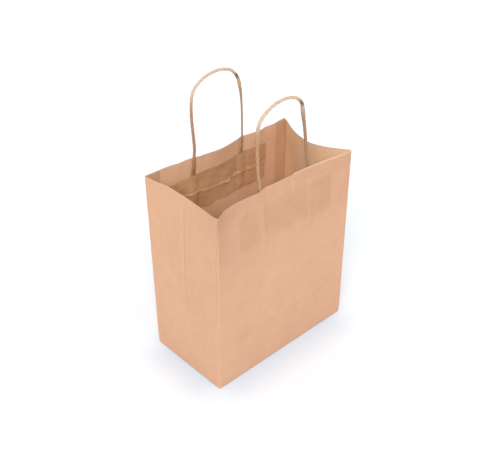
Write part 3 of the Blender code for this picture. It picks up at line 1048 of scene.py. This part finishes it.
@dataclass
class Handle:
    """One loop of twisted paper cord, from leg to leg."""

    form: BagForm
    plan: HandlePlan
    plies: int = 3
    lay: float = 0.021
    groove_depth: float = 0.11
    section_points: int = 30
    step: float = 0.0008
    route_step: float = 0.004
    pressed_below: float = 0.228
    pressed_share: float = 0.30
    pressed_spread: float = 0.70

    def seat(self, x: float, z: float) -> float:
        """The y of the cord's middle where it lies against the panel."""
        offset = self.form.paper + self.plan.glue_gap + self.plan.cord / 2
        return float(self.form.panel_y(self.plan.side, x, z)) - self.plan.side.value * offset

    def own_points(self) -> list[Vector]:
        """The route's own points: up one leg, over the loop and down the other leg."""
        height, plan = self.form.height, self.plan
        depths = (height - plan.leg_length, height - 0.051, height - 0.022, height)
        left, right = ([Vector((x, self.seat(x, z), z)) for z in depths] for x in plan.legs)
        left[-1].x += plan.foot_shift
        over = []
        for across, up in plan.loop:
            x = plan.place + across * plan.leg_pitch / 2
            blend = (x - plan.legs[0]) / plan.leg_pitch
            start = left[-1].y * (1 - blend) + right[-1].y * blend
            over.append(Vector((x, start + plan.lean * up, height + up * plan.top)))
        return left + over + right[::-1]

    def route(self) -> list[Vector]:
        """Points close together along a smooth curve through the route's own points."""
        points = self.own_points()
        ends = [2 * points[0] - points[1], *points, 2 * points[-1] - points[-2]]
        route = [points[0]]
        for before, start, end, after in zip(ends, ends[1:], ends[2:], ends[3:]):
            count = max(1, round((end - start).length / self.route_step))
            for index in range(1, count + 1):
                t = index / count
                slope = (end - before) * t
                bend = (2 * before - 5 * start + 4 * end - after) * t**2
                twist = (3 * start - before - 3 * end + after) * t**3
                route.append(start + 0.5 * (slope + bend + twist))
        return route

    def centreline(self) -> bpy.types.Object:
        """The route as a curve, whose radius says how thick the cord is there.

        Returns:
            A curve object that isn't a piece of its own.
        """
        route = self.route()
        lengths = np.cumsum([0.0] + [(b - a).length for a, b in zip(route, route[1:])])
        shares, girths = zip(*self.plan.girth)
        curve = bpy.data.curves.new(f"{self.plan.name}_route", "CURVE")
        curve.dimensions = "3D"
        spline = curve.splines.new("POLY")
        spline.points.add(len(route) - 1)
        for target, point, length in zip(spline.points, route, lengths):
            target.co = (*point, 1.0)
            target.radius = float(np.interp(length / lengths[-1], shares, girths))
        guide = bpy.data.objects.new(curve.name, curve)
        bpy.context.scene.collection.objects.link(guide)
        return guide

    def twist_tree(self) -> bpy.types.NodeTree:
        """Geometry nodes that sweep a section of several plies along a curve and twist it.

        Returns:
            The tree, with the sizes as named inputs.
        """
        tree = bpy.data.node_groups.new("twisted_cord", "GeometryNodeTree")
        face = tree.interface
        face.new_socket("Geometry", in_out="INPUT", socket_type="NodeSocketGeometry")
        for name in ("Cord radius", "Lay", "Groove depth", "Step"):
            face.new_socket(name, in_out="INPUT", socket_type="NodeSocketFloat")
        for name in ("Plies", "Section points"):
            face.new_socket(name, in_out="INPUT", socket_type="NodeSocketInt")
        face.new_socket("Paper", in_out="INPUT", socket_type="NodeSocketMaterial")
        face.new_socket("Geometry", in_out="OUTPUT", socket_type="NodeSocketGeometry")
        graph = NodeGraph(tree)
        given = graph.add("NodeGroupInput").outputs
        spacing = {"Curve": given["Geometry"], "Length": given["Step"]}
        line = graph.add("GeometryNodeResampleCurve", spacing, mode="LENGTH")
        along = graph.add("GeometryNodeSplineParameter").outputs["Length"]
        turns = graph.math("DIVIDE", along, given["Lay"])
        tilt = graph.math("MULTIPLY", turns, 2 * math.pi)
        tilted = graph.add("GeometryNodeSetCurveTilt", {"Curve": line.outputs[0], "Tilt": tilt})
        held = graph.add("GeometryNodeCaptureAttribute", {"Geometry": tilted.outputs[0]})
        held.capture_items.new("FLOAT", "Along")
        tree.links.new(along, held.inputs["Along"])
        ring = {"Resolution": given["Section points"], "Radius": 1.0}
        circle = graph.add("GeometryNodeCurvePrimitiveCircle", ring)
        spot = graph.add("GeometryNodeInputPosition").outputs[0]
        parts = graph.add("ShaderNodeSeparateXYZ", {0: spot}).outputs
        angle = graph.math("ARCTAN2", parts[1], parts[0])
        half_turns = graph.math("MULTIPLY", graph.math("MULTIPLY", angle, given["Plies"]), 0.5)
        flank = graph.math("SUBTRACT", 1.0, graph.math("ABSOLUTE", graph.math("COSINE", half_turns)))
        valley = graph.math("POWER", flank, 1.5)
        fullness = graph.math("SUBTRACT", 1.0, graph.math("MULTIPLY", valley, given["Groove depth"]))
        reach = graph.math("MULTIPLY", given["Cord radius"], fullness)
        shaped = graph.add("ShaderNodeVectorMath", {0: spot, "Scale": reach}, operation="SCALE").outputs[0]
        section = graph.add("GeometryNodeCaptureAttribute", {"Geometry": circle.outputs[0]})
        section.capture_items.new("VECTOR", "Around")
        section.capture_items.new("FLOAT", "Valley")
        tree.links.new(spot, section.inputs["Around"])
        tree.links.new(valley, section.inputs["Valley"])
        lobed = graph.add("GeometryNodeSetPosition", {"Geometry": section.outputs[0], "Position": shaped})
        girth = graph.add("GeometryNodeInputRadius").outputs[0]
        swept = graph.add("GeometryNodeCurveToMesh", {
            "Curve": held.outputs[0], "Profile Curve": lobed.outputs[0], "Scale": girth, "Fill Caps": True})
        around = graph.add("ShaderNodeSeparateXYZ", {0: section.outputs["Around"]}).outputs
        across = [graph.math("MULTIPLY", around[axis], given["Cord radius"]) for axis in (0, 1)]
        place = {0: across[0], 1: across[1], 2: held.outputs["Along"]}
        strand = graph.add("ShaderNodeCombineXYZ", place).outputs[0]
        stored = self.store(graph, swept.outputs[0], "strand", strand, "FLOAT_VECTOR")
        stored = self.store(graph, stored, "groove", section.outputs["Valley"], "FLOAT")
        shaded = graph.add("GeometryNodeSetShadeSmooth", {"Geometry": stored}).outputs[0]
        real = graph.add("GeometryNodeRealizeInstances", {0: shaded}).outputs[0]
        finish = {"Geometry": real, "Material": given["Paper"]}
        dressed = graph.add("GeometryNodeSetMaterial", finish).outputs[0]
        graph.add("NodeGroupOutput", {0: dressed})
        return tree

    def store(self, graph: NodeGraph, geometry, name: str, value, kind: str) -> bpy.types.NodeSocket:
        """Stores a named attribute on the points of a mesh."""
        node = graph.add("GeometryNodeStoreNamedAttribute", data_type=kind, domain="POINT")
        graph.tree.links.new(geometry, node.inputs["Geometry"])
        node.inputs["Name"].default_value = name
        graph.tree.links.new(value, node.inputs["Value"])
        return node.outputs[0]

    def build(self, material: bpy.types.Material) -> bpy.types.Object:
        """Builds the handle.

        Args:
            material: The twisted paper.

        Returns:
            The finished piece.
        """
        guide = self.centreline()
        tree = self.twist_tree()
        sweep = guide.modifiers.new("twist", "NODES")
        sweep.node_group = tree
        sizes = {
            "Cord radius": self.plan.cord / 2, "Lay": self.lay, "Groove depth": self.groove_depth,
            "Step": self.step, "Plies": self.plies, "Section points": self.section_points, "Paper": material,
        }
        for socket in tree.interface.items_tree:
            if socket.name in sizes and socket.in_out == "INPUT":
                sweep[socket.identifier] = sizes[socket.name]
        mesh = bake_modifiers(guide)
        bpy.data.objects.remove(guide)
        self.press(mesh)
        return new_object(f"{self.plan.name}_cord", mesh, material)

    def press(self, mesh: bpy.types.Mesh) -> None:
        """Flattens the legs against the panel where the strips are glued over them, and marks them."""
        points = read_points(mesh)
        x, height = points[:, 0], points[:, 2]
        share = 1 - smooth(height, self.pressed_below - 0.004, self.pressed_below + 0.014)
        back = self.form.panel_y(self.plan.side, x, height) - self.plan.side.value * (
            self.form.paper + self.plan.glue_gap)
        points[:, 1] += (back - points[:, 1]) * share * (1 - self.pressed_share)
        leg = np.where(x < self.plan.place, *self.plan.legs)
        points[:, 0] += (x - leg) * share * self.pressed_spread
        write_points(mesh, points)
        self.mark(mesh, points)

    def mark(self, mesh: bpy.types.Mesh, points: Array) -> None:
        """Stores the cord's painted light on the loop's top, and its painted shade: on the legs below the
        rim, partly glue too, on the right leg and at the kink.
        """
        up = (points[:, 2] - self.form.height) / self.plan.top
        write_attribute(mesh, "painted_top_light", smooth(up, 0.60, 0.88))
        # Painted shade on the legs below the rim, partly glue.
        glued = 1 - smooth(points[:, 2], self.form.height - 0.010, self.form.height + 0.002)
        across, share = self.plan.kink
        spot = (self.plan.place + across * self.plan.leg_pitch / 2, self.form.height + share * self.plan.top)
        away = np.hypot(points[:, 0] - spot[0], points[:, 2] - spot[1])
        # Painted shade on the right leg and at the kink.
        right = smooth(points[:, 0] - self.plan.place, 0.010, 0.028) * (1 - smooth(up, 0.75, 0.95))
        kink_and_side_shade = np.maximum(4.2 * swell(away, self.plan.kink_reach), self.plan.right_leg_shade * right)
        write_attribute(mesh, "cord_shade", np.maximum(0.55 * glued, kink_and_side_shade))


@dataclass
class GluedStrip:
    """A paper strip glued inside a wide panel, over the legs of its handle."""

    form: BagForm
    plan: HandlePlan
    node: str
    place: float
    length: float
    bottom: float
    top: float
    under: float
    edge: tuple[tuple[float, float, float], ...]
    curl: float = 0.0
    pitch: float = 0.0013
    tunnel_lift: float = 0.0014
    tunnel_reach: float = 0.0085
    creases: Ripples = Ripples(seed=21, height=0.00022, shortest=0.008, longest=0.045, waves=24)

    def lower_edge(self, x: Array) -> tuple[Array, Array]:
        """Heights of the strip's lower edge and of the torn stretch above it.

        Args:
            x: Places along the panel.

        Returns:
            The height of the cut or torn edge, and the height where the whole paper starts.
        """
        places, low, whole = zip(*self.edge)
        return self.bottom + np.interp(x, places, low), self.bottom + np.interp(x, places, whole)

    def surface(self, x: Array, z: Array) -> Array:
        """How far the strip lies off the panel's inner face."""
        nearest = np.minimum(*(np.abs(x - leg) for leg in self.plan.legs))
        ridge = self.tunnel_lift * (1 - smooth(nearest, 0.0012, self.tunnel_reach))
        bottom_share = smooth(z, 0.174, 0.186)
        unevenness = self.creases.at(x, z) + self.creases.height * 1.6
        return self.under + ridge * (0.35 + 0.65 * bottom_share) + unevenness

    def build(self, material: bpy.types.Material) -> bpy.types.Object:
        """Builds the strip.

        Args:
            material: The strip's paper.

        Returns:
            The finished piece.
        """
        side = self.plan.side.value
        across = np.linspace(-self.length / 2, self.length / 2, math.ceil(self.length / self.pitch) + 1)
        low, whole = self.lower_edge(self.place + across)
        places, shifts = zip(*TOP_EDGE)
        strength = 1 if self.plan.side is Side.BACK else 0.3
        top = self.top + np.interp(self.place + across, places, shifts) * strength
        top = top + 0.0004 * np.sin(across * 310) + 0.0003 * np.sin(across * 890 + 1)
        rows = math.ceil((self.top - self.bottom) / self.pitch) + 1
        share = np.linspace(0.0, 1.0, rows)[:, None] ** 1.15
        z = low[None, :] * (1 - share) + top[None, :] * share
        x = self.place + across[None, :] + 0 * z
        torn = 1 - smooth(z, whole[None, :] - 0.0004, whole[None, :] + 0.0006)
        torn = torn * (whole > low + 0.0004)[None, :]
        lip = 1 - smooth(z, low[None, :], low[None, :] + 0.0055)
        uneven_lip = 0.6 + 0.4 * np.sin(across * 140 + 0.6)[None, :] + 0.3 * np.sin(across * 530)[None, :]
        lift = self.surface(x, z) + self.curl * lip**1.6 * np.clip(uneven_lip, 0.25, 1.3)
        y = self.form.panel_y(self.plan.side, x, z) - side * (self.form.paper + lift)
        points = np.stack([x, y, z], axis=-1)
        faces = grid_faces(rows, len(across), closed=False)
        if side > 0:
            faces = [face[::-1] for face in faces]
        sheet = bpy.data.meshes.new(f"{self.node}_sheet")
        sheet.from_pydata(points.reshape(-1, 3).tolist(), [], faces)
        sheet.update()
        closed = thicken(sheet, np.full(len(sheet.vertices), self.form.paper), {"wear_and_highlight": 0.8 * torn.ravel()})
        return new_object(f"{self.node}_strip", closed, material)


TOP_EDGE = (
    (-0.078, -0.0052), (-0.065, -0.0048), (-0.054, -0.0045), (-0.039, -0.0018), (-0.027, -0.0003),
    (0.0, 0.0003),
    (0.030, 0.0014), (0.050, 0.0014), (0.078, 0.0006),
)
WIDE_EDGE = (
    (-0.078, 0.0, 0.0), (-0.060, 0.0006, 0.0006), (-0.045, -0.0004, -0.0004), (-0.029, -0.0006, -0.0006),
    (-0.022, -0.0030, -0.0030), (-0.016, -0.0046, -0.0046), (-0.012, -0.0025, -0.0025),
    (-0.0076, -0.0006, -0.0006),
    (-0.0005, -0.0015, -0.0015), (0.0125, -0.0029, -0.0029), (0.0176, -0.0015, -0.0015),
    (0.023, 0.0004, 0.0004),
    (0.0296, 0.0011, 0.0011), (0.0347, 0.0025, 0.0025), (0.040, 0.0016, 0.0016), (0.0454, 0.0011, 0.0011),
    (0.052, 0.0006, 0.0006), (0.061, 0.0013, 0.0013), (0.078, 0.0024, 0.0024),
)
TORN_EDGE = (
    (-0.078, 0.0025, 0.0036), (-0.066, 0.0015, 0.0036), (-0.059, 0.0008, 0.0042), (-0.0485, 0.0004, 0.0026),
    (-0.042, 0.0005, 0.0013), (-0.040, 0.0009, 0.0009), (-0.033, 0.0012, 0.0012), (-0.0303, -0.0008, 0.0025),
    (-0.0258, -0.0014, 0.0014), (-0.017, -0.0016, 0.0008), (-0.0083, -0.0018, 0.0006),
    (-0.0003, -0.0016, 0.0014),
    (0.0063, -0.0022, 0.0009), (0.0085, -0.0034, 0.0010), (0.010, -0.0038, 0.0024), (0.0136, -0.0036, 0.0026),
    (0.015, -0.0008, 0.0022), (0.0162, 0.0008, 0.0008), (0.0185, 0.0004, 0.0004), (0.0205, -0.0002, 0.0040),
    (0.024, 0.0010, 0.0054), (0.028, 0.0020, 0.0060), (0.031, 0.0022, 0.0042), (0.0343, 0.0024, 0.0030),
    (0.0355, 0.0029, 0.0029), (0.038, 0.0026, 0.0026), (0.0394, 0.0008, 0.0026), (0.044, 0.0006, 0.0014),
    (0.0452, 0.0026, 0.0054), (0.0465, 0.0012, 0.0050), (0.048, 0.0009, 0.0022), (0.0512, 0.0010, 0.0022),
    (0.059, 0.0008, 0.0026), (0.070, 0.0012, 0.0028), (0.078, 0.0014, 0.0030),
)


@dataclass(frozen=True)
class Viewpoint:
    """The camera, as fitted to the bag's corners in the photograph of 500 by 450 pixels."""

    image_width: float = 500.0
    focal_pixels: float = 787.3
    sensor: float = 36.0
    azimuth: float = math.radians(-43.762)
    elevation: float = math.radians(33.551)
    roll: float = math.radians(0.569)
    distance: float = 1.0414
    target: Colour = (0.03731, 0.04323, 0.12497)

    def build(self) -> bpy.types.Object:
        """Places the camera and makes it the scene's own."""
        back = towards(self.azimuth, self.elevation)
        level = Vector((0, 0, 1)).cross(back).normalized()
        upright = back.cross(level)
        right = math.cos(self.roll) * level + math.sin(self.roll) * upright
        up = back.cross(right)
        data = bpy.data.cameras.new("camera")
        data.sensor_width = self.sensor
        data.lens = self.focal_pixels / self.image_width * self.sensor
        data.clip_end = 50.0
        camera = bpy.data.objects.new("camera", data)
        place = Vector(self.target) + back * self.distance
        camera.matrix_world = Matrix.Translation(place) @ Matrix((right, up, back)).transposed().to_4x4()
        bpy.context.scene.collection.objects.link(camera)
        bpy.context.scene.camera = camera
        return camera


@dataclass(frozen=True)
class KeyLight:
    """A large far soft light: where it comes from, how wide it looks and how strong it is."""

    azimuth: float = math.radians(-47.0)
    elevation: float = math.radians(41.0)
    spread: float = math.radians(30.0)
    strength: float = 1.95
    colour: Colour = (1.0, 0.99, 0.975)

    def build(self) -> bpy.types.Object:
        """Hangs the light and turns it to the bag."""
        data = bpy.data.lights.new("key", "SUN")
        data.energy = self.strength
        data.angle = self.spread
        data.color = self.colour
        back = towards(self.azimuth, self.elevation)
        lamp = bpy.data.objects.new("key", data)
        lamp.location = back * 2
        lamp.rotation_euler = back.to_track_quat("Z", "Y").to_euler()
        bpy.context.scene.collection.objects.link(lamp)
        return lamp


@dataclass(frozen=True)
class Studio:
    """Pale floor, soft surrounding light and a large key light."""

    base_half: tuple[float, float]
    floor_size: float = 14.0
    floor_drop: float = 0.00005
    floor_colour: Colour = (0.905, 0.942, 0.98)
    shade_colour: Colour = (0.68, 0.785, 0.895)
    shade_reach: float = 0.055
    far_side_pull: float = 2.6
    corner_relief: float = 0.65
    sky_strength: float = 0.76
    sky_colour: Colour = (0.97, 0.98, 1.0)
    key: KeyLight = KeyLight()

    def distance_to_base(self, graph: NodeGraph, place) -> bpy.types.NodeSocket:
        """How far a place on the floor is from the bag's base, with the far sides counted as further."""
        parts = graph.add("ShaderNodeSeparateXYZ", {0: place}).outputs
        past = []
        for axis, half in ((0, self.base_half[0]), (1, self.base_half[1])):
            beyond = graph.math("MAXIMUM", graph.math("SUBTRACT", parts[axis], half), 0.0)
            before = graph.math("MAXIMUM", graph.math("MULTIPLY_ADD", parts[axis], -1.0, -half), 0.0)
            both = graph.math("MULTIPLY_ADD", beyond, self.far_side_pull, before)
            past.append(graph.math("POWER", both, 2.0))
        return graph.math("SQRT", graph.math("ADD", *past))

    def away_from_corners(self, graph: NodeGraph, place) -> bpy.types.NodeSocket:
        """One beside the base's long edges, and less round its corners."""
        parts = graph.add("ShaderNodeSeparateXYZ", {0: place}).outputs
        past = []
        for axis, half in ((0, self.base_half[0]), (1, self.base_half[1])):
            past.append(graph.ramp(graph.math("ABSOLUTE", parts[axis]), half - 0.03, half + 0.01))
        return graph.math("MULTIPLY_ADD", graph.math("MULTIPLY", *past), -self.corner_relief, 1.0)

    def build_floor(self) -> bpy.types.Object:
        """Lays the floor just under the bag's base, with a painted soft shadow close round it."""
        mesh = bpy.data.meshes.new("floor")
        half = self.floor_size / 2
        corners = [(-half, -half), (half, -half), (half, half), (-half, half)]
        mesh.from_pydata([(x, y, -self.floor_drop) for x, y in corners], [], [(0, 1, 2, 3)])
        material = bpy.data.materials.new("floor_paper")
        material.use_nodes = True
        graph = NodeGraph(material.node_tree)
        place = graph.add("ShaderNodeTexCoord").outputs["Object"]
        darker = tuple(0.99 * part for part in self.floor_colour)
        tone = graph.mix(graph.noise(place, 3.0), self.floor_colour, darker)
        # Painted soft shadow round the base, weaker at its corners.
        shade = graph.ramp(self.distance_to_base(graph, place), -0.004, self.shade_reach, 1.0, 0.0)
        near = graph.math("MULTIPLY", shade, self.away_from_corners(graph, place))
        tone = graph.mix(near, tone, self.shade_colour)
        shader = material.node_tree.nodes["Principled BSDF"]
        material.node_tree.links.new(tone, shader.inputs["Base Color"])
        shader.inputs["Roughness"].default_value = 0.9
        shader.inputs["Specular IOR Level"].default_value = 0.0
        floor = new_object("floor", mesh, material)
        return floor

    def build(self) -> None:
        """Sets up the floor, the surrounding light, the key light and the picture's tones."""
        self.build_floor()
        world = bpy.data.worlds.new("studio")
        world.use_nodes = True
        sky = world.node_tree.nodes["Background"]
        sky.inputs["Color"].default_value = (*self.sky_colour, 1.0)
        sky.inputs["Strength"].default_value = self.sky_strength
        bpy.context.scene.world = world
        self.key.build()
        bpy.context.scene.view_settings.view_transform = "Standard"


KRAFT = PaperFinish(
    name="kraft_paper",
    pale=(0.665, 0.385, 0.243),
    deep=(0.61, 0.342, 0.209),
    # painted show-through shade where a strip lies behind, and the darker seam flap
    covered=(0.925, 0.905, 0.885),
    # painted light: the inner face is made paler, the right gusset more so
    inside=(1.22, 1.35, 1.34),
    inside_lit=(1.36, 1.61, 1.63),
    wear_and_highlight=(0.74, 0.49, 0.34),
    fleck=(0.34, 0.185, 0.105),
)
STRIP = PaperFinish(
    name="glued_patch_paper",
    pale=(0.665, 0.385, 0.205),
    deep=(0.57, 0.31, 0.16),
    covered=(0.50, 0.255, 0.125),
    inside=(1.0, 1.0, 1.0),
    wear_and_highlight=(0.74, 0.48, 0.32),
    fleck=(0.24, 0.12, 0.06),
    blotches=0.5,
)
CORD = CordFinish(
    name="twisted_paper_cord",
    pale=(0.52, 0.30, 0.162),
    deep=(0.36, 0.198, 0.104),
    groove=(0.15, 0.075, 0.035),
    painted_top_light=(0.72, 0.545, 0.38),
)


def place_piece(piece: bpy.types.Object, node: str, flare: Flare) -> None:
    """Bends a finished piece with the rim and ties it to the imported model.

    Args:
        piece: The piece.
        node: The node that it stands for.
        flare: How the rim's corners have moved.
    """
    flare.apply(piece.data)
    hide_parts(node)
    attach(piece, BODY)
    LOG.info("%s stands for %s: %d faces", piece.name, node, len(piece.data.polygons))


def main() -> None:
    """Builds the camera, the bag, its handles and strips, and the studio."""
    logging.basicConfig(level=logging.INFO, format="%(message)s")
    Viewpoint().build()
    form = BagForm.from_frame()
    flare = Flare(form.width, form.depth, form.height)
    kraft, strip_paper, cord = KRAFT.build(), STRIP.build(), CORD.build()
    plans = (FRONT_PLAN, BACK_PLAN)
    place_piece(PaperBag(form, plans).build(kraft), "paper_bag", flare)
    for plan in plans:
        place_piece(Handle(form, plan).build(cord), plan.name, flare)
    for plan in plans:
        for kind, bottom, under, edge, curl in (
            ("patch", 0.176, 0.0003, WIDE_EDGE, 0.0),
            ("patch_cover", 0.199, 0.0008, TORN_EDGE, 0.0007),
        ):
            node = f"{plan.side.name.lower()}_{kind}"
            low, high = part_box(node)
            strip = GluedStrip(
                form=form, plan=plan, node=node, place=(low.x + high.x) / 2, length=high.x - low.x,
                bottom=bottom, top=0.228, under=under, edge=edge, curl=curl,
            )
            place_piece(strip.build(strip_paper), node, flare)
    Studio((form.width / 2, form.depth / 2)).build()


if __name__ == "__main__":
    main()
